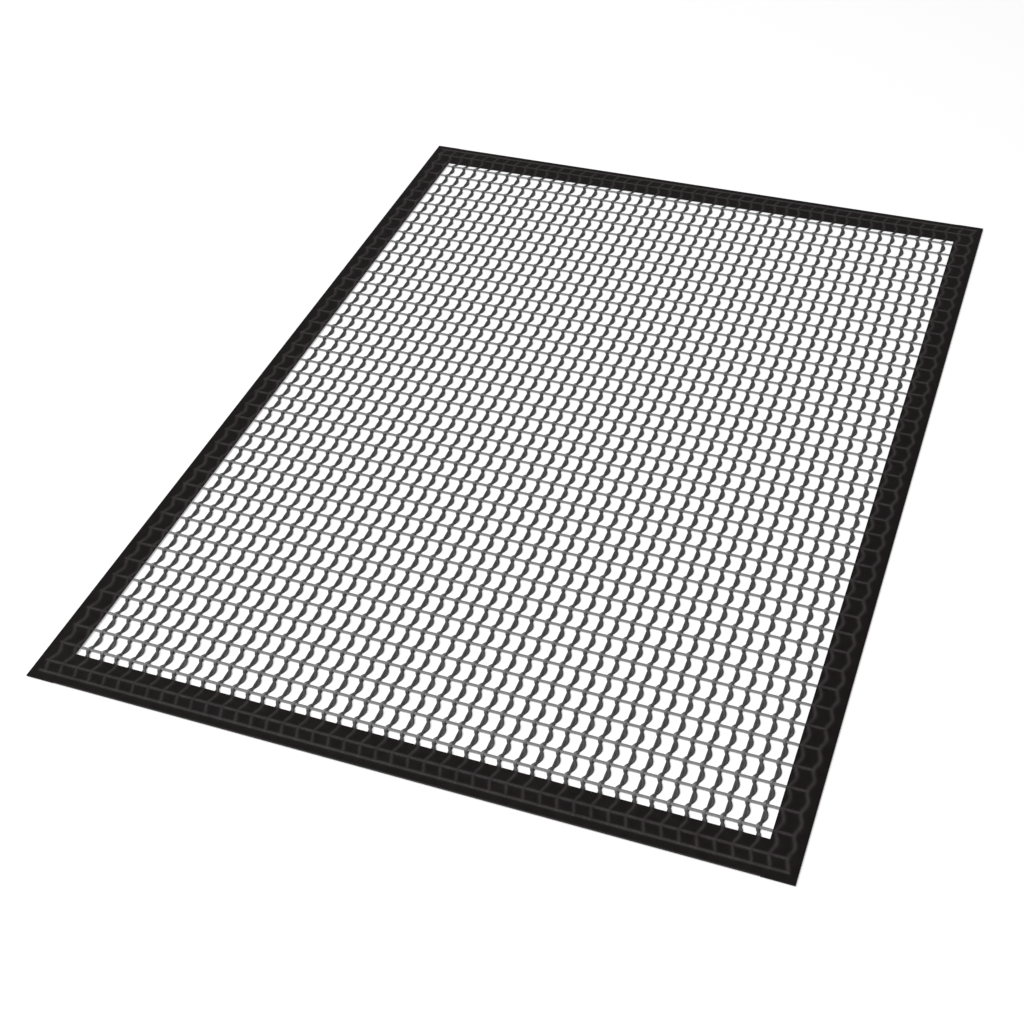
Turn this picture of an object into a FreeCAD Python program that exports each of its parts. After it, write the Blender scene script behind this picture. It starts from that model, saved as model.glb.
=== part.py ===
import FreeCAD, Part
import math
import os

import Sketcher

# Open-mesh mat: a leno-woven net of coated glass yarns, held all round by four folded border tapes.
# Frame: X to the right, Y to the back, Z up. The origin is the middle of the mat's underside.
# From below, the yarns lie in three layers: ground warps, then wefts, then crossing warps.

# Driving dimensions in millimetres: alias, value, meaning.
DRIVING = [
    ("mat_width", "300", "left edge to right edge"),
    ("mat_length", "420", "front edge to back edge"),
    ("side_border", "12.5", "width of the left and right tapes on each face"),
    ("end_border", "15.7", "width of the front and back tapes on each face"),
    ("tape_thickness", "0.15", "one leaf of border tape"),
    ("film_thickness", "0.05", "bond film between a tape leaf and the yarns"),
    ("film_inset", "0.5", "bond film kept back from the edges of the tape"),
    ("film_clearance", "0.1", "bond film kept back from the ends of the yarns"),
    ("warp_pitch", "6.337", "one warp pair to the next"),
    ("weft_pitch", "9.79", "one weft to the next, on average"),
    ("weft_drift", "0.92", "wefts off even spacing, back in one half and forward in the other"),
    ("weft_lag", "0.49", "wefts off even spacing, all back, most in the middle"),
    ("ground_width", "0.95", "straight warp, across"),
    ("ground_thickness", "0.3", "straight warp, top to bottom"),
    ("ground_offset", "0.17", "straight warp, right of its pair's centre line"),
    ("crossing_width", "0.9", "crossing warp, across"),
    ("crossing_thickness", "0.25", "crossing warp, top to bottom"),
    ("crossing_swing", "1.125", "crossing warp, to each side of its pair's centre line"),
    ("weft_width", "1.1", "weft, across"),
    ("weft_thickness", "0.3", "weft, top to bottom"),
    ("weft_tail", "1.6", "weft past the centre line of the outermost pair"),
    ("end_pick_gap", "5.455", "outermost weft to the end pick beside it"),
    ("warp_tail", "1", "warp past the end pick"),
    ("side_gap", "3", "least width outside the outermost pair's centre line"),
    ("end_gap", "2.5", "least width outside an end pick"),
    ("net_shift_x", "-0.265", "middle of the net from the middle of the mat, across"),
    ("net_shift_y", "0.35", "middle of the net from the middle of the mat, along"),
]

# Dimensions that follow from the driving ones: alias, formula, meaning.
DERIVED = [
    ("warp_count", "=floor((mat_width - 2 * side_gap) / warp_pitch) + 1", "warp pairs"),
    (
        "weft_count",
        "=floor((mat_length - 2 * (end_gap + end_pick_gap)) / weft_pitch) + 1",
        "wefts, end picks left out",
    ),
    ("net_span_x", "=(warp_count - 1) * warp_pitch", "first pair to last pair"),
    ("net_span_y", "=(weft_count - 1) * weft_pitch", "first weft to last weft"),
    ("ground_bottom", "=tape_thickness + film_thickness", "underside of the ground warps"),
    ("weft_bottom", "=ground_bottom + ground_thickness", "underside of the wefts"),
    ("crossing_bottom", "=weft_bottom + weft_thickness", "underside of the crossing warps"),
    ("net_top", "=crossing_bottom + crossing_thickness", "upper side of the crossing warps"),
    ("mat_thickness", "=net_top + film_thickness + tape_thickness", "border, top to bottom"),
    ("channel_height", "=mat_thickness - 2 * tape_thickness", "space between a tape's two leaves"),
    ("weft_length", "=net_span_x + 2 * weft_tail", "one weft, end to end"),
    ("warp_length", "=net_span_y + 2 * (end_pick_gap + warp_tail)", "one ground warp, end to end"),
    (
        "side_web",
        "=(mat_width - weft_length) / 2 - abs(net_shift_x) - film_clearance",
        "bond film that fills the fold of a side tape",
    ),
    (
        "end_web",
        "=(mat_length - warp_length) / 2 - abs(net_shift_y) - film_clearance",
        "bond film that fills the fold of an end tape",
    ),
    ("side_strip", "=mat_length", "side tapes, from the front edge to the back edge"),
    ("end_strip", "=mat_width - 2 * side_border", "end tapes, between the side tapes"),
]

# How a sketch's constraints name its axes, its origin and the points of a line or an arc.
HORIZONTAL_AXIS = -1
VERTICAL_AXIS = -2
ORIGIN_POINT = (-1, 1)
START = 1
END = 2
CENTRE = 3


def fill_sheet(document):
    """Write the driving and derived dimensions, with their aliases, into one spreadsheet."""
    sheet = document.addObject("Spreadsheet::Sheet", "sizes")
    for row, (alias, value, meaning) in enumerate(DRIVING + DERIVED, start=1):
        sheet.set(f"A{row}", alias)
        sheet.set(f"B{row}", value)
        sheet.set(f"C{row}", meaning)
        sheet.setAlias(f"B{row}", alias)
    document.recompute()
    return sheet


def place(part, x, y, z, turn=0):
    """Turn a part about Z and bind its place to formulas over the sheet."""
    rotation = FreeCAD.Rotation(FreeCAD.Vector(0, 0, 1), turn)
    part.Placement = FreeCAD.Placement(FreeCAD.Vector(0, 0, 0), rotation)
    part.setExpression("Placement.Base.x", x)
    part.setExpression("Placement.Base.y", y)
    part.setExpression("Placement.Base.z", z)


def origin_feature(body, role):
    """The origin plane or axis of a body that has this role."""
    return next(f for f in body.Origin.OriginFeatures if f.Role == role)


def new_sketch(body, plane_role):
    """An empty sketch on one of the body's own origin planes."""
    sketch = body.newObject("Sketcher::SketchObject", f"{body.Name}_section")
    sketch.AttachmentSupport = [(origin_feature(body, plane_role), "")]
    sketch.MapMode = "FlatFace"
    return sketch


def constrain(sketch, *words):
    """Add a geometric constraint."""
    sketch.addConstraint(Sketcher.Constraint(*words))


def drive(sketch, name, formula, *words):
    """Add a dimension whose value follows a formula over the sheet."""
    index = sketch.addConstraint(Sketcher.Constraint(*words))
    sketch.renameConstraint(index, name)
    sketch.setExpression(f"Constraints.{name}", formula)


def draw_lines(sketch, corners):
    """Draw straight lines through the corners in turn, joined end to end, and return their numbers."""
    first = sketch.GeometryCount
    for start, end in zip(corners, corners[1:]):
        line = Part.LineSegment(FreeCAD.Vector(*start, 0), FreeCAD.Vector(*end, 0))
        sketch.addGeometry(line)
    lines = list(range(first, sketch.GeometryCount))
    for line, after in zip(lines, lines[1:]):
        constrain(sketch, "Coincident", line, END, after, START)
    return lines


def pad_both_ways(body, sketch, length):
    """Extrude a section half its length to each side of its plane."""
    pad = body.newObject("PartDesign::Pad", f"{body.Name}_pad")
    pad.Profile = sketch
    pad.SideType = "Symmetric"
    pad.setExpression("Length", length)
    return pad


def yarn_section(body, plane_role, yarn, sizes):
    """A flat yarn's section: flat above and below, bevelled at 45 degrees to a ridge on each side."""
    sketch = new_sketch(body, plane_role)
    top = sizes.get(f"{yarn}_thickness")
    middle = top / 2
    ridge = sizes.get(f"{yarn}_width") / 2
    flat = ridge - middle
    corners = [(-flat, 0), (flat, 0), (ridge, middle), (flat, top), (-flat, top), (-ridge, middle)]
    bottom, _, right, upper, _, left = draw_lines(sketch, corners + corners[:1])
    constrain(sketch, "Coincident", left, END, bottom, START)
    constrain(sketch, "PointOnObject", bottom, START, HORIZONTAL_AXIS)
    constrain(sketch, "Symmetric", bottom, START, bottom, END, VERTICAL_AXIS)
    constrain(sketch, "Symmetric", upper, START, upper, END, VERTICAL_AXIS)
    constrain(sketch, "Symmetric", left, START, right, START, VERTICAL_AXIS)
    constrain(sketch, "Equal", bottom, upper)
    flat_width = f"sizes.{yarn}_width - sizes.{yarn}_thickness"
    drive(sketch, "flat_width", flat_width, "DistanceX", bottom, START, bottom, END, 2 * flat)
    full_width = f"sizes.{yarn}_width"
    drive(sketch, "full_width", full_width, "DistanceX", left, START, right, START, 2 * ridge)
    ridge_rise = f"sizes.{yarn}_thickness / 2"
    drive(sketch, "ridge_rise", ridge_rise, "DistanceY", bottom, END, right, START, middle)
    full_rise = f"sizes.{yarn}_thickness"
    drive(sketch, "full_rise", full_rise, "DistanceY", bottom, END, upper, START, top)
    return sketch


def straight_yarn(document, label, plane_role, yarn, length, sizes):
    """A body with one straight yarn, centred on the body's origin, and the yarn's pad."""
    body = document.addObject("PartDesign::Body", label)
    sketch = yarn_section(body, plane_role, yarn, sizes)
    return body, pad_both_ways(body, sketch, length)


def repeat(body, pad, axis_role, pitch, count):
    """Repeat a body's one yarn along an axis, as separate solids."""
    pattern = body.newObject("PartDesign::LinearPattern", f"{body.Name}_pattern")
    pattern.Originals = [pad]
    pattern.Direction = (origin_feature(body, axis_role), [""])
    pattern.Mode = "Spacing"
    pattern.setExpression("Offset", pitch)
    pattern.setExpression("Occurrences", count)
    body.Tip = pattern


def ground_warps(document, sizes):
    """The straight warps, front to back, under the wefts."""
    body, pad = straight_yarn(
        document, "ground_warp_yarns", "XZ_Plane", "ground", "sizes.warp_length", sizes
    )
    repeat(body, pad, "X_Axis", "sizes.warp_pitch", "sizes.warp_count")
    first = "sizes.net_shift_x + sizes.ground_offset - sizes.net_span_x / 2"
    place(body, first, "sizes.net_shift_y", "sizes.ground_bottom")
    return body


def weft_rows(sizes):
    """Where each weft lies along the net, from its middle.

    Even spacing plus a whole and a half sine wave: the loom's beat drifts, so the wefts
    stand a little open in some stretches and a little close in others.
    """
    count = sizes.get("weft_count")
    shares = [row / (count - 1) for row in range(count)]
    span = sizes.get("net_span_y")
    drift = sizes.get("weft_drift")
    lag = sizes.get("weft_lag")
    return [
        (share - 0.5) * span
        + drift * math.sin(2 * math.pi * share)
        + lag * math.sin(math.pi * share)
        for share in shares
    ]


def wefts(document, sizes):
    """The wefts, left to right, over the ground warps."""
    body, _ = straight_yarn(
        document, "one_weft", "YZ_Plane", "weft", "sizes.weft_length", sizes
    )
    document.recompute()
    yarn = body.Shape.Solids[0]
    yarns = [yarn.translated(FreeCAD.Vector(0, row, 0)) for row in weft_rows(sizes)]
    part = document.addObject("Part::Feature", "weft_yarns")
    part.Shape = Part.makeCompound(yarns)
    place(part, "sizes.net_shift_x", "sizes.net_shift_y", "sizes.weft_bottom")
    return part


def end_pick(document, end, sign, sizes):
    """The extra weft that binds the warp ends; sign is - at the front and + at the back."""
    body, _ = straight_yarn(
        document, f"{end}_end_pick", "YZ_Plane", "weft", "sizes.weft_length", sizes
    )
    at = f"sizes.net_shift_y {sign} (sizes.net_span_y / 2 + sizes.end_pick_gap)"
    place(body, "sizes.net_shift_x", at, "sizes.weft_bottom")
    return body


def crossing_path(sizes):
    """One crossing warp's centre line: left of its pair at each weft, right of it between wefts."""
    swing = sizes.get("crossing_swing")
    rows = weft_rows(sizes)
    pick = sizes.get("net_span_y") / 2 + sizes.get("end_pick_gap")
    tail = pick + sizes.get("warp_tail")
    path = [(swing, -tail), (swing, -pick), (-swing, rows[0])]
    for weft, next_weft in zip(rows, rows[1:]):
        path.append((swing, (weft + next_weft) / 2))
        path.append((-swing, next_weft))
    return path + [(swing, pick), (swing, tail)]


def crossing_warps(document, sizes):
    """The zigzag warps, front to back, over the wefts: one to each ground warp."""
    path = crossing_path(sizes)
    half_width = sizes.get("crossing_width") / 2
    right_side = [FreeCAD.Vector(x + half_width, y, 0) for x, y in path]
    left_side = [FreeCAD.Vector(x - half_width, y, 0) for x, y in reversed(path)]
    outline = Part.makePolygon(right_side + left_side + right_side[:1])
    yarn = Part.Face(outline).extrude(FreeCAD.Vector(0, 0, sizes.get("crossing_thickness")))
    step = FreeCAD.Vector(sizes.get("warp_pitch"), 0, 0)
    yarns = [yarn.translated(step * pair) for pair in range(sizes.get("warp_count"))]
    part = document.addObject("Part::Feature", "crossing_warp_yarns")
    part.Shape = Part.makeCompound(yarns)
    first = "sizes.net_shift_x - sizes.net_span_x / 2"
    place(part, first, "sizes.net_shift_y", "sizes.crossing_bottom")
    return part


def fold_section(body, width, height, sizes):
    """A section with a half circle on the left, then straight to a square end on the right.

    The half circle touches the sketch's origin line, and the section stands on its X axis.
    """
    sketch = new_sketch(body, "XZ_Plane")
    reach = sizes.get("side_border")
    radius = sizes.get("channel_height") / 2
    corners = [(radius, 0), (reach, 0), (reach, 2 * radius), (radius, 2 * radius)]
    lower, end, upper = draw_lines(sketch, corners)
    middle = FreeCAD.Vector(radius, radius, 0)
    circle = Part.Circle(middle, FreeCAD.Vector(0, 0, 1), radius)
    fold = sketch.addGeometry(Part.ArcOfCircle(circle, math.pi / 2, 3 * math.pi / 2))
    constrain(sketch, "Tangent", fold, END, lower, START)
    constrain(sketch, "Tangent", fold, START, upper, END)
    constrain(sketch, "Horizontal", lower)
    constrain(sketch, "Horizontal", upper)
    constrain(sketch, "Vertical", end)
    constrain(sketch, "PointOnObject", lower, END, HORIZONTAL_AXIS)
    drive(sketch, "square_end", width, "DistanceX", *ORIGIN_POINT, lower, END, reach)
    drive(sketch, "fold_radius", f"{height} / 2", "Radius", fold, radius)
    drive(sketch, "fold_middle", f"{height} / 2", "DistanceX", *ORIGIN_POINT, fold, CENTRE, radius)
    return sketch


def folded_block(document, label, width, height, length, wall, sizes):
    """A solid strip with one half-round long edge, set in by a wall from the edge and the underside."""
    body = document.addObject("PartDesign::Body", label)
    sketch = fold_section(body, width, height, sizes)
    pad_both_ways(body, sketch, length)
    place(body, wall, "0 mm", wall)
    return body


def cut(document, label, base, tool):
    """The base with the tool taken away."""
    part = document.addObject("Part::Cut", label)
    part.Base = base
    part.Tool = tool
    return part


def border_tape(document, side, width, length, sizes):
    """A tape folded over the mat's edge: two leaves that a half-round fold joins."""
    outside = folded_block(
        document, f"{side}_tape_outside", width, "sizes.mat_thickness", length, "0 mm", sizes
    )
    wall = "sizes.tape_thickness"
    inside = folded_block(
        document,
        f"{side}_tape_inside",
        f"{width} - {wall}",
        "sizes.channel_height",
        length,
        wall,
        sizes,
    )
    return cut(document, f"{side}_border_tape", outside, inside)


def bond_film(document, side, width, length, web, sizes):
    """The film inside a folded tape: it fills the fold, then lies below and above the yarns."""
    film_length = f"({length} - 2 * sizes.film_inset)"
    block = folded_block(
        document,
        f"{side}_film_block",
        f"{width} - sizes.tape_thickness - sizes.film_inset",
        "sizes.channel_height",
        film_length,
        "sizes.tape_thickness",
        sizes,
    )
    space = document.addObject("Part::Box", f"{side}_yarn_space")
    space.setExpression("Length", f"{width} - {web}")
    space.setExpression("Width", film_length)
    space.setExpression("Height", "sizes.net_top - sizes.ground_bottom")
    place(space, web, f"-{film_length} / 2", "sizes.ground_bottom")
    return cut(document, f"{side}_bond_film", block, space)


def border(document, sizes):
    """The tapes and their films: side ones over the full length, end ones between them."""
    half_width = "sizes.mat_width / 2"
    half_length = "sizes.mat_length / 2"
    sides = [
        ("left", "side", f"-{half_width}", "0 mm", 0),
        ("right", "side", half_width, "0 mm", 180),
        ("front", "end", "0 mm", f"-{half_length}", 90),
        ("back", "end", "0 mm", half_length, 270),
    ]
    parts = []
    for side, kind, x, y, turn in sides:
        width = f"sizes.{kind}_border"
        length = f"sizes.{kind}_strip"
        tape = border_tape(document, side, width, length, sizes)
        film = bond_film(document, side, width, length, f"sizes.{kind}_web", sizes)
        for part in (tape, film):
            place(part, x, y, "0 mm", turn)
            parts.append(part)
    return parts


def check_document(document):
    """Stop if any object failed to recompute."""
    for item in document.Objects:
        if "Invalid" in item.State or "Error" in item.State:
            raise RuntimeError(f"{item.Label} failed: {item.State}")


def check_part(part):
    """Stop unless a sub-part's shape holds valid solids."""
    if part.Shape.isNull() or not part.Shape.isValid() or not part.Shape.Solids:
        raise RuntimeError(f"{part.Label} has no valid solid")


document = FreeCAD.newDocument("open_mesh_mat")
sizes = fill_sheet(document)
sub_parts = [
    ground_warps(document, sizes),
    wefts(document, sizes),
    crossing_warps(document, sizes),
    end_pick(document, "front", "-", sizes),
    end_pick(document, "back", "+", sizes),
]
sub_parts += border(document, sizes)
document.recompute()
check_document(document)
for sub_part in sub_parts:
    check_part(sub_part)

os.makedirs("parts", exist_ok=True)
for sub_part in sub_parts:
    shape = sub_part.Shape
    shape.exportStep(f"parts/{sub_part.Label}.step")
    print(f"{sub_part.Label}: {len(shape.Solids)} solids, {shape.Volume:.1f} cubic mm")
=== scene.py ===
import math

import bpy
import numpy as np
from mathutils import Matrix, Vector


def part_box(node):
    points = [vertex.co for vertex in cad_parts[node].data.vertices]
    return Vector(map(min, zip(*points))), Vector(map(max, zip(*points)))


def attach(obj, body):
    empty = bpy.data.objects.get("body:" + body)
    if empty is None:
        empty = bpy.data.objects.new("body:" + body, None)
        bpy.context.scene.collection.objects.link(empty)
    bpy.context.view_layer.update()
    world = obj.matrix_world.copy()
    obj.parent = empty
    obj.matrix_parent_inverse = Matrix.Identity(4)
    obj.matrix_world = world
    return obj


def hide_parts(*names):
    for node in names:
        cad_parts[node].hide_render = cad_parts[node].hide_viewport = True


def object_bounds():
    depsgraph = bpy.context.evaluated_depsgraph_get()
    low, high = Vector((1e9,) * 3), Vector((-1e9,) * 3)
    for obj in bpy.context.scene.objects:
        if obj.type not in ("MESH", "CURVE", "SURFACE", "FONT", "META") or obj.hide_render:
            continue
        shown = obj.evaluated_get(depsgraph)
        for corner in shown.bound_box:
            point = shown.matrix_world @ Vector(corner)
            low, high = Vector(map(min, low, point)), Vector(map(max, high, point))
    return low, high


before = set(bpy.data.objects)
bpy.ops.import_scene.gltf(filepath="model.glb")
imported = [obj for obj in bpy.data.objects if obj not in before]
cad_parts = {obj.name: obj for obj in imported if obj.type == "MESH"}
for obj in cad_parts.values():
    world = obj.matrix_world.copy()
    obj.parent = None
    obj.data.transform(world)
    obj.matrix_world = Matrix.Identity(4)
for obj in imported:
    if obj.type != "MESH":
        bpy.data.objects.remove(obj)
cadLow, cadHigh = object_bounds()
scene = bpy.context.scene
mm = 0.001

camera = {
    "azimuth": 22.445,
    "elevation": 42.060,
    "roll": -3.1426,
    "distance": 0.6847,
    "target": (-0.00479, -0.06395, -0.00035),
    "lens": 57.14,
    "sensor": 36.0,
}

stage = {
    "floorRadius": 8.0,
    "sweepRadius": 0.9,
    "wallHeight": 1.4,
    "sweepRings": 13,
    "floorSides": 96,
    "floorColour": "#e6e6e6",
    "floorGlow": 0.42,
    "worldColour": "#ffffff",
    "worldStrength": 0.12,
    "softboxSize": 2.2,
    "softboxPlace": (-0.9, -1.1, 2.9),
    "softboxPower": 89.0,
}


def toLinear(hexColour):
    # sRGB to linear: the low end is a straight line, the rest a 2.4 power
    parts = [int(hexColour[i : i + 2], 16) / 255 for i in (1, 3, 5)]
    linear = [c / 12.92 if c <= 0.04045 else ((c + 0.055) / 1.055) ** 2.4 for c in parts]
    return (*linear, 1.0)


def addNode(tree, kind, settings=None, inputs=None, links=None):
    # one node, its settings, its own values, and what feeds it
    node = tree.nodes.new(kind)
    for name, value in (settings or {}).items():
        setattr(node, name, value)
    for name, value in (inputs or {}).items():
        node.inputs[name].default_value = value
    for name, source in (links or {}).items():
        tree.links.new(source, node.inputs[name])
    return node


def newMaterial(name):
    material = bpy.data.materials.new(name)
    material.use_nodes = True
    material.node_tree.nodes.clear()
    return material, material.node_tree


def placeCamera():
    azimuth = math.radians(camera["azimuth"])
    elevation = math.radians(camera["elevation"])
    roll = math.radians(camera["roll"])
    back = Vector(
        (
            math.sin(azimuth) * math.cos(elevation),
            -math.cos(azimuth) * math.cos(elevation),
            math.sin(elevation),
        )
    )
    level = Vector((0, 0, 1)).cross(back).normalized()
    upright = back.cross(level)
    right = level * math.cos(roll) + upright * math.sin(roll)
    up = upright * math.cos(roll) - level * math.sin(roll)
    data = bpy.data.cameras.new("camera")
    data.lens = camera["lens"]
    data.sensor_width = camera["sensor"]
    data.clip_start = 0.01
    eye = bpy.data.objects.new("camera", data)
    scene.collection.objects.link(eye)
    turn = Matrix((right, up, back)).transposed().to_4x4()
    turn.translation = Vector(camera["target"]) + back * camera["distance"]
    eye.matrix_world = turn
    scene.camera = eye


def makeStage():
    # a flat round floor, then a quarter circle up into a wall, all turned about the upright
    bend = np.linspace(0, np.pi / 2, stage["sweepRings"])
    out = stage["floorRadius"] + stage["sweepRadius"] * np.append(np.sin(bend), 1)
    up = np.append(stage["sweepRadius"] * (1 - np.cos(bend)), stage["wallHeight"])
    around = np.linspace(0, 2 * np.pi, stage["floorSides"], endpoint=False)
    points = np.stack(
        [
            out[:, None] * np.cos(around),
            out[:, None] * np.sin(around),
            np.broadcast_to(up[:, None], (len(up), len(around))),
        ],
        -1,
    )
    index = np.arange(points.size // 3).reshape(points.shape[:2])
    here, there = index[:-1], index[1:]
    quads = np.stack([here, there, np.roll(there, -1, 1), np.roll(here, -1, 1)], -1)
    mesh = bpy.data.meshes.new("floor")
    faces = [index[0].tolist()] + quads.reshape(-1, 4).tolist()
    mesh.from_pydata(points.reshape(-1, 3), [], faces)
    mesh.polygons.foreach_set("use_smooth", np.ones(len(mesh.polygons), bool))
    floor = bpy.data.objects.new("floor", mesh)
    scene.collection.objects.link(floor)
    material, tree = newMaterial("matt white paper")
    shader = addNode(
        tree,
        "ShaderNodeBsdfPrincipled",
        inputs={
            "Base Color": toLinear(stage["floorColour"]),
            "Roughness": 0.9,
            "Specular IOR Level": 0.0,
            "Emission Color": (1, 1, 1, 1),
            "Emission Strength": stage["floorGlow"],
        },
    )
    addNode(tree, "ShaderNodeOutputMaterial", links={"Surface": shader.outputs[0]})
    mesh.materials.append(material)

    world = bpy.data.worlds.new("studio")
    world.use_nodes = True
    world.node_tree.nodes.clear()
    sky = addNode(
        world.node_tree,
        "ShaderNodeBackground",
        inputs={"Color": toLinear(stage["worldColour"]), "Strength": stage["worldStrength"]},
    )
    addNode(world.node_tree, "ShaderNodeOutputWorld", links={"Surface": sky.outputs[0]})
    scene.world = world

    light = bpy.data.lights.new("softbox", "AREA")
    light.shape = "SQUARE"
    light.size = stage["softboxSize"]
    light.energy = stage["softboxPower"]
    softbox = bpy.data.objects.new("softbox", light)
    scene.collection.objects.link(softbox)
    softbox.location = stage["softboxPlace"]
    softbox.rotation_euler = (-Vector(stage["softboxPlace"])).to_track_quat("-Z", "Y").to_euler()
    scene.view_settings.view_transform = "Standard"


placeCamera()
makeStage()
print("stage: camera, floor, softbox")

net = {
    "pairs": 47,
    "wefts": 42,
    "swing": 1.00 * mm,  # crossing yarn, to each side
    "lean": 0.25 * mm,  # the middle of its swing, right of the pair's centre line
    "skew": 0.10 * mm,  # how late it swings
    "coat": 0.05 * mm,  # all round a yarn
    "roundness": 0.8,  # a yarn's section: 1 is an ellipse, less is squarer
    "groundWidth": 0.95 * mm,
    "drift": 0.92 * mm,  # rows off even spacing, back in one half and forward in the other
    "lag": 0.49 * mm,  # rows off even spacing, all back, most in the middle
}

press = {
    "level": 0.55 * mm,  # height that the yarns close in on
    "share": 0.55,  # how far they go towards it
    "ramp": 1.0 * mm,  # over this much of the net beside the border
}

groundLow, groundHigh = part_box("ground_warp_yarns")
weftLow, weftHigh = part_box("weft_yarns")
crossLow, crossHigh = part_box("crossing_warp_yarns")
frontPickLow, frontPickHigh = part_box("front_end_pick")
backPickLow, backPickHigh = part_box("back_end_pick")
openLow = Vector((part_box("left_border_tape")[1].x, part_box("front_border_tape")[1].y))
openHigh = Vector((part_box("right_border_tape")[0].x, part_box("back_border_tape")[0].y))

weftWidth = frontPickHigh.y - frontPickLow.y
pairPitch = (groundHigh.x - groundLow.x - net["groundWidth"]) / (net["pairs"] - 1)
firstPair = (crossLow.x + crossHigh.x) / 2 - pairPitch * (net["pairs"] - 1) / 2
pairPlaces = firstPair + pairPitch * np.arange(net["pairs"])
weftPitch = (weftHigh.y - weftLow.y - weftWidth) / (net["wefts"] - 1)
weftShare = np.linspace(0, 1, net["wefts"])
# even rows plus a whole and a half slow sine wave from front to back, as the loom's beat drifted
weftRows = weftLow.y + weftWidth / 2 + (weftHigh.y - weftLow.y - weftWidth) * weftShare
weftRows += net["drift"] * np.sin(2 * np.pi * weftShare) + net["lag"] * np.sin(np.pi * weftShare)
frontPick = (frontPickLow.y + frontPickHigh.y) / 2
backPick = (backPickLow.y + backPickHigh.y) / 2
allRows = np.concatenate([[frontPick], weftRows, [backPick]])


def cellPhase(y):
    # 0 at a weft and 1 at the next; the end picks sit half a turn past the last weft
    rows = np.concatenate([[crossLow.y], allRows, [crossHigh.y]])
    turns = np.concatenate([[-0.5, -0.5], np.arange(net["wefts"]), [net["wefts"] - 0.5] * 2])
    return np.interp(y, rows, turns)


def crossingSide(y):
    # a cosine swing, left at every weft and right half way between two, a little late on its way
    phase = 2 * np.pi * cellPhase(y)
    return net["lean"] - net["swing"] * np.cos(phase) - net["skew"] * np.sin(phase)


def smooth(share):
    # 0 below 0, 1 above 1, and an S curve between
    share = np.clip(share, 0, 1)
    return share * share * (3 - 2 * share)


def pressLines(lines):
    # the heat press flattens the net in the border: heights close in on one level there
    x, y = lines[..., 0], lines[..., 1]
    outsideX = np.maximum(openLow.x - x, x - openHigh.x)
    outsideY = np.maximum(openLow.y - y, y - openHigh.y)
    share = smooth(np.maximum(outsideX, outsideY) / press["ramp"] + 1) * press["share"]
    lines[..., 2] += (press["level"] - lines[..., 2]) * share
    return lines


def tubeMesh(name, rings, attributes=None, sharpAngle=None):
    # rings[strand, ring, side] are points; quads join neighbours and each end gets one flat face
    strands, count, sides = rings.shape[:3]
    index = np.arange(strands * count * sides).reshape(strands, count, sides)
    here = index[:, :-1]
    there = index[:, 1:]
    quads = np.stack([here, np.roll(here, -1, 2), np.roll(there, -1, 2), there], -1)
    faces = quads.reshape(-1, 4).tolist()
    faces += index[:, 0, ::-1].tolist() + index[:, -1].tolist()
    mesh = bpy.data.meshes.new(name)
    mesh.from_pydata(rings.reshape(-1, 3), [], faces)
    mesh.polygons.foreach_set("use_smooth", np.ones(len(mesh.polygons), bool))
    for label, values in (attributes or {}).items():
        kind = "FLOAT_VECTOR" if values.shape[-1] == 3 and values.ndim == 4 else "FLOAT"
        field = "vector" if kind == "FLOAT_VECTOR" else "value"
        layer = mesh.attributes.new(label, kind, "POINT")
        layer.data.foreach_set(field, np.ascontiguousarray(values, np.float32).ravel())
    if sharpAngle:
        mesh.set_sharp_from_angle(angle=math.radians(sharpAngle))
    mesh.update()
    piece = bpy.data.objects.new(name, mesh)
    scene.collection.objects.link(piece)
    return piece


def flatYarn(lines, width, height, sides=8):
    # a flattened round section carried along each line: wide in plan, thin upwards
    width, height = width + 2 * net["coat"], height + 2 * net["coat"]
    lines = pressLines(lines)
    along = np.gradient(lines, axis=1)
    along /= np.linalg.norm(along, axis=2, keepdims=True)
    upright = np.array([0.0, 0.0, 1.0])
    across = np.cross(along, upright)
    across /= np.linalg.norm(across, axis=2, keepdims=True)
    over = np.cross(across, along)
    angle = (np.arange(sides) + 0.5) * 2 * np.pi / sides
    wide = np.sign(np.cos(angle)) * np.abs(np.cos(angle)) ** net["roundness"]
    high = np.sign(np.sin(angle)) * np.abs(np.sin(angle)) ** net["roundness"]
    wide *= width / 2 / wide.max()
    high *= height / 2 / high.max()
    rings = (
        lines[:, :, None]
        + across[:, :, None] * wide[None, None, :, None]
        + over[:, :, None] * high[None, None, :, None]
    )
    steps = np.linalg.norm(np.diff(lines, axis=1), axis=2)
    run = np.concatenate([np.zeros((len(lines), 1)), np.cumsum(steps, axis=1)], axis=1)
    turn = np.empty(rings.shape)
    turn[..., 0] = np.cos(angle)
    turn[..., 1] = np.sin(angle)
    turn[..., 2] = run[:, :, None]
    return rings, turn


# the strands' grooves are about 0.3 mm apart; the twist is drawn three times as coarse, to show
coatedWarp = {
    "colour": "#4a4a4b",
    # painted highlight colour: the crossing yarn's hump over each weft, paler as if catching the light
    "paintedHighlightColour": "#98989a",
    "roughness": (0.36, 0.50),
    "ior": 1.38,
    "twist": 0.9 * mm,
    "grooveDepth": 0.02 * mm,
    "mottle": 2.5 * mm,
    "mottleTone": 0.12,
}

coatedWeft = {
    # the weft is the same coated yarn as the warp, painted paler: a painted sheen on yarns that run
    # across
    "colour": "#838384",
    # painted highlight where the weft lies free between pairs
    "paintedHighlightColour": "#909091",
    "roughness": (0.34, 0.48),
    "ior": 1.38,
    "twist": 0.9 * mm,
    "grooveDepth": 0.02 * mm,
    "mottle": 2.5 * mm,
    "mottleTone": 0.12,
}

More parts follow.
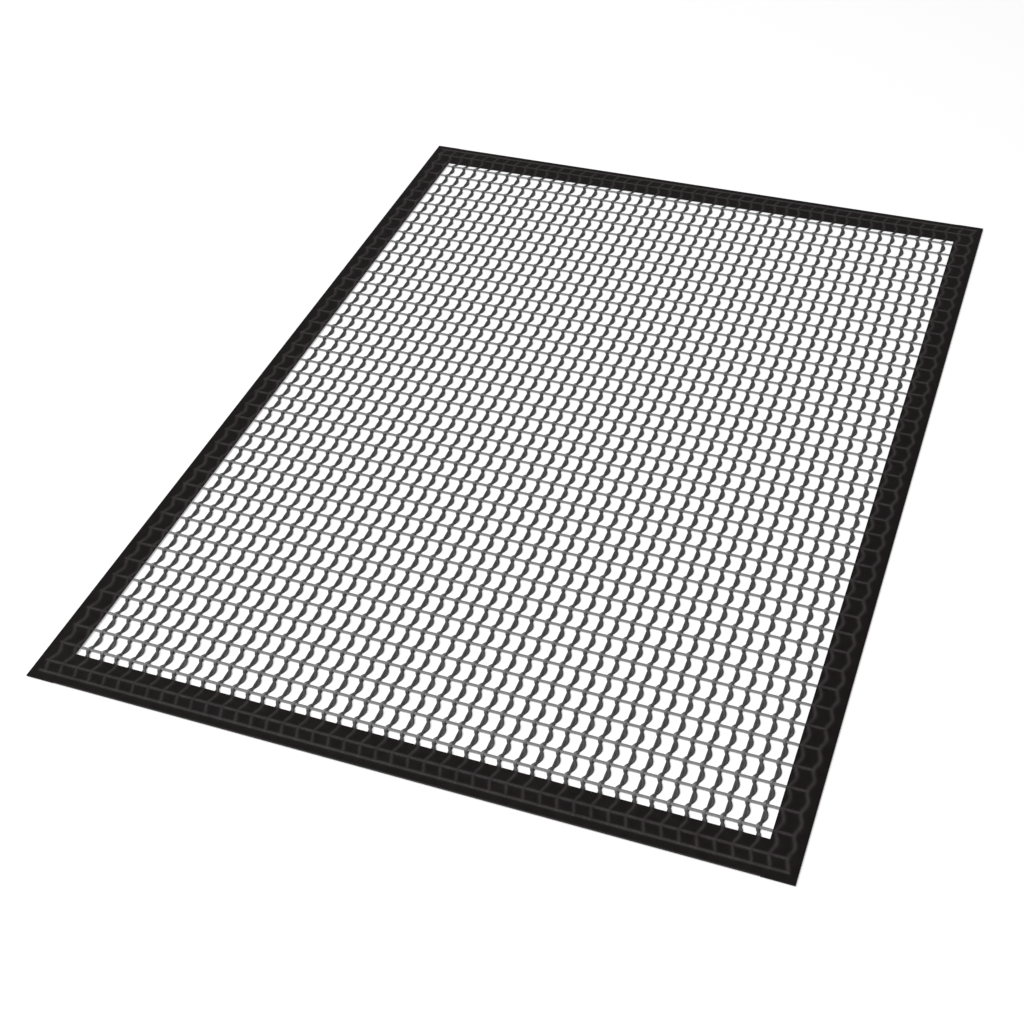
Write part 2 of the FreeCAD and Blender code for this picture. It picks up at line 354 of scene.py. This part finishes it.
# the cloth's threads are about 0.5 mm apart; they are drawn twice as coarse, to show
pressedTape = {
    "colour": "#161011",
    # painted highlight colour on the ribs that the net pushes up
    "paintedRibHighlightColour": "#443f40",
    "roughness": (0.35, 0.48),
    "ior": 1.35,
    "threadSpacing": 1.0 * mm,
    "threadDepth": 0.012 * mm,
    "mottle": 4.0 * mm,
    "mottleTone": (0.75, 1.15),
}

meltedFilm = {
    "colour": "#1d1714",
    "roughness": (0.17, 0.32),
    "ior": 1.35,
    "ripple": 1.5 * mm,
    "rippleDepth": 0.01 * mm,
}

# a noise texture's values keep nearly all between these two
noiseSpan = {"From Min": 0.3, "From Max": 0.7}


def yarnMaterial(name, look):
    # coated glass yarn, twisted and dip coated: a satin grey line, paler where a painted highlight is
    # mixed in
    material, tree = newMaterial(name)
    turn = addNode(tree, "ShaderNodeAttribute", {"attribute_name": "twist"})
    parts = addNode(tree, "ShaderNodeSeparateXYZ", links={0: turn.outputs["Vector"]})
    paintedHighlight = addNode(tree, "ShaderNodeAttribute", {"attribute_name": "paintedHighlight"})
    place = addNode(tree, "ShaderNodeTexCoord")
    phase = addNode(
        tree,
        "ShaderNodeMath",
        {"operation": "MULTIPLY"},
        {1: 2 * math.pi / look["twist"]},
        {0: parts.outputs[2]},
    )
    sine = addNode(tree, "ShaderNodeMath", {"operation": "SINE"}, links={0: phase.outputs[0]})
    cosine = addNode(tree, "ShaderNodeMath", {"operation": "COSINE"}, links={0: phase.outputs[0]})
    first = addNode(
        tree,
        "ShaderNodeMath",
        {"operation": "MULTIPLY"},
        links={0: sine.outputs[0], 1: parts.outputs[0]},
    )
    groove = addNode(
        tree,
        "ShaderNodeMath",
        {"operation": "MULTIPLY_ADD"},
        links={0: cosine.outputs[0], 1: parts.outputs[1], 2: first.outputs[0]},
    )
    mottle = addNode(
        tree,
        "ShaderNodeTexNoise",
        inputs={"Scale": 1 / look["mottle"], "Detail": 3.0},
        links={"Vector": place.outputs["Object"]},
    )
    tone = addNode(
        tree,
        "ShaderNodeMapRange",
        inputs={**noiseSpan, "To Min": -look["mottleTone"], "To Max": look["mottleTone"]},
        links={"Value": mottle.outputs["Fac"]},
    )
    share = addNode(
        tree,
        "ShaderNodeMath",
        {"operation": "ADD", "use_clamp": True},
        links={0: paintedHighlight.outputs["Fac"], 1: tone.outputs[0]},
    )
    # painted highlight: the attribute, with a little random tone, mixes in the paler colour
    colour = addNode(
        tree,
        "ShaderNodeMix",
        {"data_type": "RGBA"},
        {6: toLinear(look["colour"]), 7: toLinear(look["paintedHighlightColour"])},
        {0: share.outputs[0]},
    )
    gloss = addNode(
        tree,
        "ShaderNodeMapRange",
        inputs={**noiseSpan, "To Min": look["roughness"][0], "To Max": look["roughness"][1]},
        links={"Value": mottle.outputs["Fac"]},
    )
    bump = addNode(
        tree,
        "ShaderNodeBump",
        inputs={"Strength": 1.0, "Distance": look["grooveDepth"]},
        links={"Height": groove.outputs[0]},
    )
    shader = addNode(
        tree,
        "ShaderNodeBsdfPrincipled",
        inputs={"IOR": look["ior"]},
        links={
            "Base Color": colour.outputs[2],
            "Roughness": gloss.outputs[0],
            "Normal": bump.outputs[0],
        },
    )
    addNode(tree, "ShaderNodeOutputMaterial", links={"Surface": shader.outputs[0]})
    return material


def tapeMaterial(name, look):
    # glass cloth tape, coated and heat pressed: satin near black, its plain weave just showing,
    # the ribs over the net paler from a painted highlight
    material, tree = newMaterial(name)
    rib = addNode(tree, "ShaderNodeAttribute", {"attribute_name": "rib"})
    place = addNode(tree, "ShaderNodeTexCoord")
    parts = addNode(tree, "ShaderNodeSeparateXYZ", links={0: place.outputs["Object"]})
    waves = []
    for axis in (0, 1):
        phase = addNode(
            tree,
            "ShaderNodeMath",
            {"operation": "MULTIPLY"},
            {1: math.pi / look["threadSpacing"]},
            {0: parts.outputs[axis]},
        )
        waves.append(
            addNode(tree, "ShaderNodeMath", {"operation": "SINE"}, links={0: phase.outputs[0]})
        )
    weave = addNode(
        tree,
        "ShaderNodeMath",
        {"operation": "MULTIPLY"},
        links={0: waves[0].outputs[0], 1: waves[1].outputs[0]},
    )
    mottle = addNode(
        tree,
        "ShaderNodeTexNoise",
        inputs={"Scale": 1 / look["mottle"], "Detail": 4.0},
        links={"Vector": place.outputs["Object"]},
    )
    tone = addNode(
        tree,
        "ShaderNodeMapRange",
        inputs={**noiseSpan, "To Min": look["mottleTone"][0], "To Max": look["mottleTone"][1]},
        links={"Value": mottle.outputs["Fac"]},
    )
    share = addNode(
        tree,
        "ShaderNodeMath",
        {"operation": "MULTIPLY", "use_clamp": True},
        links={0: rib.outputs["Fac"], 1: tone.outputs[0]},
    )
    # painted highlight mixed in over the ribs
    colour = addNode(
        tree,
        "ShaderNodeMix",
        {"data_type": "RGBA"},
        {6: toLinear(look["colour"]), 7: toLinear(look["paintedRibHighlightColour"])},
        {0: share.outputs[0]},
    )
    gloss = addNode(
        tree,
        "ShaderNodeMapRange",
        inputs={**noiseSpan, "To Min": look["roughness"][0], "To Max": look["roughness"][1]},
        links={"Value": mottle.outputs["Fac"]},
    )
    bump = addNode(
        tree,
        "ShaderNodeBump",
        inputs={"Strength": 1.0, "Distance": look["threadDepth"]},
        links={"Height": weave.outputs[0]},
    )
    shader = addNode(
        tree,
        "ShaderNodeBsdfPrincipled",
        inputs={"IOR": look["ior"]},
        links={
            "Base Color": colour.outputs[2],
            "Roughness": gloss.outputs[0],
            "Normal": bump.outputs[0],
        },
    )
    addNode(tree, "ShaderNodeOutputMaterial", links={"Surface": shader.outputs[0]})
    return material


def filmMaterial(name, look):
    # fluoropolymer film, melted under the press: a brown black, glossy, faintly rippled edge
    material, tree = newMaterial(name)
    place = addNode(tree, "ShaderNodeTexCoord")
    ripple = addNode(
        tree,
        "ShaderNodeTexNoise",
        inputs={"Scale": 1 / look["ripple"], "Detail": 2.0},
        links={"Vector": place.outputs["Object"]},
    )
    gloss = addNode(
        tree,
        "ShaderNodeMapRange",
        inputs={"To Min": look["roughness"][0], "To Max": look["roughness"][1]},
        links={"Value": ripple.outputs["Fac"]},
    )
    bump = addNode(
        tree,
        "ShaderNodeBump",
        inputs={"Strength": 1.0, "Distance": look["rippleDepth"]},
        links={"Height": ripple.outputs["Fac"]},
    )
    shader = addNode(
        tree,
        "ShaderNodeBsdfPrincipled",
        inputs={"Base Color": toLinear(look["colour"]), "IOR": look["ior"]},
        links={"Roughness": gloss.outputs[0], "Normal": bump.outputs[0]},
    )
    addNode(tree, "ShaderNodeOutputMaterial", links={"Surface": shader.outputs[0]})
    return material


filmLook = filmMaterial("fluoropolymer film, melted", meltedFilm)
warpLook = yarnMaterial("coated glass yarn, dark warp", coatedWarp)
# the weft's material is a paler, painted sheen copy of the warp's
weftLook = yarnMaterial("coated glass yarn, weft painted paler for sheen", coatedWeft)
tapeLook = tapeMaterial("coated glass cloth tape, pressed", pressedTape)

groundWarp = {
    "width": net["groundWidth"],
    "height": 0.30 * mm,
    "rest": 0.40 * mm,
    "rise": 0.10 * mm,
    "ringsPerCell": 4,
}

crossingWarp = {
    "width": 1.12 * mm,
    "height": 0.25 * mm,
    "levels": (0.635 * mm, 0.2525 * mm, -0.325 * mm, 0.099 * mm),
    "paintedHighlightReach": 1.0 * mm,
    "ringsPerCell": 12,
    # three pieces, because one would hold too many triangles
    "pieces": {"left": (0, 16), "middle": (16, 31), "right": (31, 47)},
}

weft = {
    "width": weftWidth,
    "height": 0.30 * mm,
    "rest": 0.70 * mm,
    "dip": 0.03 * mm,
    "ringsPerPair": 4,
}


def finishPiece(piece, material, slot, *nodes):
    piece.data.materials.append(material)
    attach(piece, "root")
    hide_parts(*nodes)
    return piece


def warpStations(ringsPerCell):
    # evenly spaced rings inside each cell, so every weft has a ring on it
    stops = np.concatenate([[crossLow.y], allRows, [crossHigh.y]])
    steps = [
        np.linspace(a, b, max(2, round(ringsPerCell * (b - a) / weftPitch)), endpoint=False)
        for a, b in zip(stops[:-1], stops[1:])
    ]
    return np.concatenate(steps + [[stops[-1]]])


def makeGroundWarps():
    # straight in plan; the height is a cosine of the cell, lowest under each weft
    y = warpStations(groundWarp["ringsPerCell"])
    x = pairPlaces + (groundLow.x + groundHigh.x) / 2 - (pairPlaces[0] + pairPlaces[-1]) / 2
    lines = np.empty((net["pairs"], len(y), 3))
    lines[..., 0] = x[:, None]
    lines[..., 1] = y
    lines[..., 2] = groundWarp["rest"] + groundWarp["rise"] * (
        1 - np.cos(2 * np.pi * cellPhase(y))
    ) / 2
    rings, twist = flatYarn(lines, groundWarp["width"], groundWarp["height"])
    paintedHighlight = np.zeros(rings.shape[:3])
    piece = tubeMesh("ground_warps", rings, {"twist": twist, "paintedHighlight": paintedHighlight})
    return finishPiece(piece, warpLook, "warp_yarn", "ground_warp_yarns")


def makeCrossingWarps(name, pairs):
    # left over the weft, under the ground warp to the right, and back: its height is a cosine and
    # a sine of the cell and a cosine of twice the cell, added
    y = warpStations(crossingWarp["ringsPerCell"])
    phase = 2 * np.pi * cellPhase(y)
    middle, once, quarter, twice = crossingWarp["levels"]
    lines = np.empty((len(pairs), len(y), 3))
    lines[..., 0] = pairPlaces[pairs][:, None] + crossingSide(y)
    lines[..., 1] = y
    lines[..., 2] = (
        middle + once * np.cos(phase) + quarter * np.sin(phase) + twice * np.cos(2 * phase)
    )
    rings, twist = flatYarn(lines, crossingWarp["width"], crossingWarp["height"])
    # painted highlight on the crossing yarn's hump over each weft, fading away from it
    onWeft = np.abs(y[:, None] - allRows[None]).min(1)
    paintedHighlight = np.exp(-((onWeft / crossingWarp["paintedHighlightReach"]) ** 2))
    paintedHighlight = np.broadcast_to(paintedHighlight[None, :, None], rings.shape[:3])
    piece = tubeMesh(name, rings, {"twist": twist, "paintedHighlight": paintedHighlight})
    return finishPiece(piece, warpLook, "warp_yarn", "crossing_warp_yarns")


def makeWefts(name, rows, low, high, *nodes):
    # straight across, dipping a little where each pair pinches it
    phase = np.arange(-1, net["pairs"] * weft["ringsPerPair"] + 1) / weft["ringsPerPair"]
    x = firstPair + pairPitch * (phase - 0.5)
    x = np.unique(np.clip(np.concatenate([[low], x, [high]]), low, high))
    pinch = np.cos(2 * np.pi * (x - firstPair) / pairPitch)
    lines = np.empty((len(rows), len(x), 3))
    lines[..., 0] = x
    lines[..., 1] = np.asarray(rows)[:, None]
    lines[..., 2] = weft["rest"] - weft["dip"] * pinch
    rings, twist = flatYarn(lines, weft["width"], weft["height"])
    # painted highlight where the weft lies free between pairs, painted shade where it dips under them
    paintedHighlight = np.broadcast_to((0.5 - 0.5 * pinch)[None, :, None], rings.shape[:3])
    piece = tubeMesh(name, rings, {"twist": twist, "paintedHighlight": paintedHighlight})
    return finishPiece(piece, weftLook, "weft_yarn", *nodes)


makeGroundWarps()
for part, (first, last) in crossingWarp["pieces"].items():
    makeCrossingWarps(f"crossing_warps_{part}", np.arange(first, last))
netWefts = makeWefts("wefts", weftRows, weftLow.x, weftHigh.x, "weft_yarns")
makeWefts("front_pick", [frontPick], frontPickLow.x, frontPickHigh.x, "front_end_pick")
makeWefts("back_pick", [backPick], backPickLow.x, backPickHigh.x, "back_end_pick")
print("yarns: ground warps, crossing warps, wefts, end picks")

borderTape = {
    "thickness": 0.15 * mm,
    "topLevel": 1.00 * mm,  # the upper and the lower face over the net
    "bottomLevel": 0.20 * mm,
    "edgeTop": 0.99 * mm,  # the same two at the mat's outer edge
    "edgeBottom": 0.45 * mm,
    "edgeWidth": 2.4 * mm,
    "setBack": 0.40 * mm,  # under leaf, short of the upper one
    "foldRings": 5,
    "leastStep": 0.2 * mm,
    "gridFine": 0.28 * mm,
    "gridCoarse": 0.8 * mm,
    "weftReach": 1.1 * mm,  # how far the fine grid goes to each side of a rib
    "endWarpReach": 1.7 * mm,
    "sideWarpReach": 1.9 * mm,
    "sharpAngle": 55,
}

emboss = {
    "weftRib": 0.14 * mm,
    "warpRib": 0.18 * mm,
    "mostRib": 0.24 * mm,
    "crossingShare": 0.3,  # of the lower rib, added where two cross
    # painted highlight on each kind of rib: ribs running across get more, as they catch the light
    "weftRibPaintedHighlight": 0.88,
    "warpRibPaintedHighlight": 0.70,
    "ribWidth": 0.55 * mm,
    "sideRibWidth": 0.70 * mm,
    "sideRamp": 2.0 * mm,
    "undersideShare": 0.55,
    "ribSwing": 0.65 * mm,  # a warp rib, to each side
    "ribLean": 0.70 * mm,
    "ribDraw": 0.45 * mm,
    "slopeStep": 0.02 * mm,
    "weftPastLeft": 0.4 * mm,  # a weft's rib, past the first and the last pair
    "weftPastRight": -0.3 * mm,
    "pickPastRight": 1.2 * mm,
    "pickBand": 2.0 * mm,  # from the last weft to where an end pick's rib takes over
}

foldRadius = (borderTape["edgeTop"] - borderTape["edgeBottom"]) / 2


def bell(value, low, high):
    # 1 between low and high, falling smoothly to 0 within a rib's width outside
    outside = np.maximum(np.maximum(low - value, value - high), 0)
    return np.exp(-((outside / emboss["ribWidth"]) ** 2))


def ribSide(x, y):
    # a rib swings two thirds as far as its crossing yarn, and is drawn in towards the middle
    swing = -emboss["ribSwing"] * np.cos(2 * np.pi * cellPhase(y))
    return swing + emboss["ribLean"] - emboss["ribDraw"] * x / pairPlaces[-1]


def ribHeights(x, y):
    # how far the net pushes the tape out: a bell over every weft and along every pair of warps
    row = np.abs(y[..., None] - allRows).min(-1)
    onPick = np.abs(y) > weftRows[-1] + emboss["pickBand"]
    pastRight = np.where(onPick, emboss["pickPastRight"], emboss["weftPastRight"])
    inWeft = bell(x, pairPlaces[0] - emboss["weftPastLeft"], pairPlaces[-1] + pastRight)
    weftShare = np.exp(-((row / emboss["ribWidth"]) ** 2)) * inWeft
    side = ribSide(x, y)
    step = emboss["slopeStep"]
    lean = (ribSide(x, y + step) - ribSide(x, y - step)) / (2 * step)
    pair = np.clip(np.round((x - side - firstPair) / pairPitch), 0, net["pairs"] - 1)
    away = (x - side - firstPair - pair * pairPitch) / np.sqrt(1 + lean**2)
    inWarp = bell(y, frontPick, backPick)
    atSide = smooth((np.abs(x) - openHigh.x) / emboss["sideRamp"])
    width = emboss["ribWidth"] + (emboss["sideRibWidth"] - emboss["ribWidth"]) * atSide
    warpShare = np.exp(-((away / width) ** 2)) * inWarp
    weftHeight, warpHeight = weftShare * emboss["weftRib"], warpShare * emboss["warpRib"]
    height = np.maximum(weftHeight, warpHeight)
    height += emboss["crossingShare"] * np.minimum(weftHeight, warpHeight)
    # painted highlight share of each rib, carried to the tape's colour
    paintedRibHighlight = np.maximum(weftShare * emboss["weftRibPaintedHighlight"], warpShare * emboss["warpRibPaintedHighlight"])
    return np.minimum(height, emboss["mostRib"]), paintedRibHighlight


def edgeShare(x, y):
    # 0 over the net, rising in an S curve to 1 at the mat's outer edge, where the plies meet
    inside = np.minimum(
        np.minimum(x - cadLow.x, cadHigh.x - x), np.minimum(y - cadLow.y, cadHigh.y - y)
    )
    return smooth(1 - (inside - foldRadius) / borderTape["edgeWidth"])


def plyLevels(x, y):
    # the tape's upper and lower face: flat over the net, closing together towards the edge
    share = edgeShare(x, y)
    tape = borderTape
    top = tape["topLevel"] + (tape["edgeTop"] - tape["topLevel"]) * share
    bottom = tape["bottomLevel"] + (tape["edgeBottom"] - tape["bottomLevel"]) * share
    return top, bottom


def denseStops(low, high, centres, reach, fine, coarse):
    # grid lines close together within reach of each centre and wide apart elsewhere
    near = np.concatenate([c + np.arange(-reach, reach + fine / 2, fine) for c in centres])
    near = near[(near > low + fine / 2) & (near < high - fine / 2)]
    stops = np.concatenate([[low], np.sort(near), [high]])
    filled = [
        np.linspace(a, b, max(1, round((b - a) / coarse)) if b - a > 1.2 * fine else 1, False)
        for a, b in zip(stops[:-1], stops[1:])
    ]
    return np.concatenate(filled + [[high]])


def borderRun(node):
    # which way a border strip runs, its inner and outer edge, and its two ends
    low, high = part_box(node)
    alongX = high.x - low.x > high.y - low.y
    edges = (low.y, high.y) if alongX else (low.x, high.x)
    ends = (low.x, high.x) if alongX else (low.y, high.y)
    inner, outer = sorted(edges, key=abs)
    return alongX, inner, outer, *ends


def makeTape(name, node):
    # a strip folded round the net's edge; the section runs over, round the fold and back under
    tape = borderTape
    alongX, inner, outer, start, end = borderRun(node)
    sign = 1 if outer > inner else -1
    edge = outer - sign * foldRadius
    warpReach = tape["endWarpReach"] if alongX else tape["sideWarpReach"]
    weftGrid = (allRows, tape["weftReach"], tape["gridFine"], tape["gridCoarse"])
    warpGrid = (pairPlaces, warpReach, tape["gridFine"], tape["gridCoarse"])
    across = denseStops(min(inner, edge), max(inner, edge), *(weftGrid if alongX else warpGrid))
    along = denseStops(start, end, *(warpGrid if alongX else weftGrid))
    across = across if sign > 0 else across[::-1]
    shortEdge = inner + sign * tape["setBack"]
    under = across[::-1][::2]
    under = np.append(under[sign * (under - shortEdge) > tape["leastStep"]], shortEdge)
    bend = np.linspace(0, np.pi, tape["foldRings"] + 2)[1:-1]
    reach = np.concatenate([across, edge + sign * foldRadius * np.sin(bend), under])
    foldStart, foldEnd = len(across), len(across) + len(bend)
    push = np.zeros(len(reach))
    push[:foldStart] = 1
    push[foldEnd:] = -emboss["undersideShare"]
    reachGrid, alongGrid = np.meshgrid(reach, along)
    x, y = (alongGrid, reachGrid) if alongX else (reachGrid, alongGrid)
    height, paintedRibHighlight = ribHeights(x, y)
    top, bottom = plyLevels(x, y)
    level = np.empty(x.shape)
    level[:, :foldStart] = top[:, :foldStart]
    level[:, foldStart:foldEnd] = (tape["edgeTop"] + tape["edgeBottom"]) / 2 + foldRadius * np.cos(bend)
    level[:, foldEnd:] = bottom[:, foldEnd:]
    skin = np.stack([x, y, level + height * push], -1)
    normal = np.cross(np.gradient(skin, axis=1), np.gradient(skin, axis=0))
    normal /= np.linalg.norm(normal, axis=2, keepdims=True)
    if normal[len(along) // 2, len(across) // 2, 2] < 0:
        normal = -normal
    # the inner face lies one tape thickness in, and the strip's cut edges stay square
    inside = skin - normal * tape["thickness"]
    inside[:, 0] = skin[:, 0] - [0, 0, tape["thickness"]]
    inside[:, -1] = skin[:, -1] + [0, 0, tape["thickness"]]
    inside[0, :, 1 - alongX] = skin[0, :, 1 - alongX]
    inside[-1, :, 1 - alongX] = skin[-1, :, 1 - alongX]
    ring = np.concatenate([skin, inside[:, ::-1]], axis=1)
    # the painted rib highlight, carried round the tape's section
    paintedRibHighlights = np.concatenate([paintedRibHighlight, paintedRibHighlight[:, ::-1]], axis=1)
    if (sign > 0) != alongX:
        ring = ring[:, ::-1]
        paintedRibHighlights = paintedRibHighlights[:, ::-1]
    piece = tubeMesh(name, ring[None], {"rib": paintedRibHighlights[None]}, sharpAngle=tape["sharpAngle"])
    finishPiece(piece, tapeLook, "border_tape", node)
    return piece


bondBead = {
    "gap": 0.01 * mm,  # kept from the tape's two leaves
    "waver": 0.12 * mm,
    "waveLength": 7.0 * mm,
    "secondWave": 0.6,  # a second wave's share of the first, and its turns to one of the first's
    "secondTurns": 2.3,
    "step": 1.0 * mm,
    "leastFullness": 0.01,
}


def makeFilm(name, node):
    # the melted film between the plies: a flat bead with round edges, its inner edge wavering a little
    bead = bondBead
    alongX, inner, outer, start, end = borderRun(node)
    sign = 1 if outer > inner else -1
    spare = borderTape["thickness"] + bead["gap"]
    radius = (borderTape["topLevel"] - borderTape["bottomLevel"]) / 2 - spare
    along = np.arange(start, end + bead["step"] / 2, bead["step"])
    along = np.clip(along, start, end)
    turn = 2 * np.pi * along / bead["waveLength"]
    wave = np.sin(turn) + bead["secondWave"] * np.sin(bead["secondTurns"] * turn + 1)
    edge = inner + sign * bead["waver"] * wave / (1 + bead["secondWave"])
    outerEdge = outer - sign * foldRadius
    # rings close together where the inner edge rounds over
    share = np.concatenate([[0, 0.01, 0.03], np.linspace(0.08, 0.99, 14), [1]])
    reach = edge[:, None] + (outerEdge - edge)[:, None] * share
    away = np.minimum(np.abs(reach - edge[:, None]), np.abs(outerEdge - reach)) / radius
    fullness = np.sqrt(np.clip(1 - (1 - np.clip(away, 0, 1)) ** 2, bead["leastFullness"], 1))
    alongGrid = np.broadcast_to(along[:, None], reach.shape)
    x, y = (alongGrid, reach) if alongX else (reach, alongGrid)
    top, bottom = plyLevels(x, y)
    middle, half = (top + bottom) / 2, ((top - bottom) / 2 - spare) * fullness
    upper = np.stack([x, y, middle + half], -1)
    lower = np.stack([x, y, middle - half], -1)
    ring = np.concatenate([upper, lower[:, ::-1]], axis=1)
    if (sign > 0) == alongX:
        ring = ring[:, ::-1]
    return finishPiece(tubeMesh(name, ring[None]), filmLook, "bond_film", node)


for side in ("left", "right", "front", "back"):
    makeTape(f"{side}_tape", f"{side}_border_tape")
    makeFilm(f"{side}_film", f"{side}_bond_film")
print("border: four folded tapes and the film inside each")
